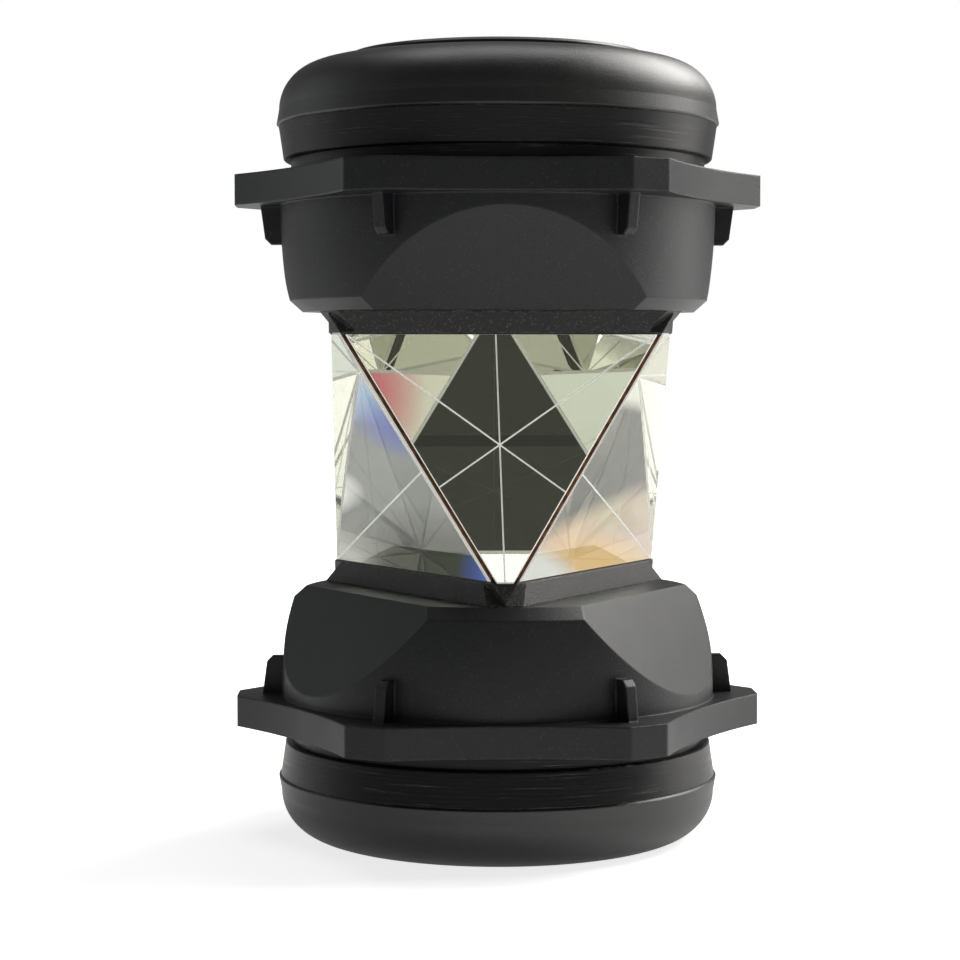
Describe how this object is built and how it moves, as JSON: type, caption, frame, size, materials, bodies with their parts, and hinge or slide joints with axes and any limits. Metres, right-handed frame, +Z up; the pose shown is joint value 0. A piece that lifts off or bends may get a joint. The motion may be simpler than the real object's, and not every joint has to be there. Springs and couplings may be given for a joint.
{
  "type": "corner cube prism",
  "caption": "All-round surveying reflector: a ring of glass corner cubes between two black lobed housings with rubber bumpers, on a pole thread.",
  "frame": {"origin": "centre of the face that the lower bumper stands on, on the reflector's axis", "axes": "+Z up along the axis from the pole thread to the closed end, -Y through the front prism, which has its tip down"},
  "size_m": [0.0824, 0.0746, 0.1227],
  "materials": {
    "glass": "polished optical glass",
    "seat": "cast aluminium, black textured paint",
    "housing": "fine-grained black moulding",
    "seal": "plain black",
    "ring": "turned, black anodised",
    "plate": "turned, black anodised",
    "screws": "plain",
    "bumper": "satin",
    "bush": "turned stainless steel"
  },
  "bodies": {
    "root": {"prism_front": "glass", "prism_back_right": "glass", "prism_back_left": "glass", "prism_back": "glass", "prism_front_left": "glass", "prism_front_right": "glass", "upper_seat": "seat", "upper_seat_screws": "screws", "upper_housing": "housing", "upper_seal": "seal", "upper_end_ring": "ring", "upper_end_plate": "plate", "upper_end_screws": "screws", "upper_bumper": "bumper", "lower_seat": "seat", "lower_seat_screws": "screws", "lower_housing": "housing", "lower_seal": "seal", "lower_end_ring": "ring", "lower_end_plate": "plate", "lower_end_screws": "screws", "lower_bumper": "bumper", "thread_bush": "bush"}
  },
  "joints": []
}
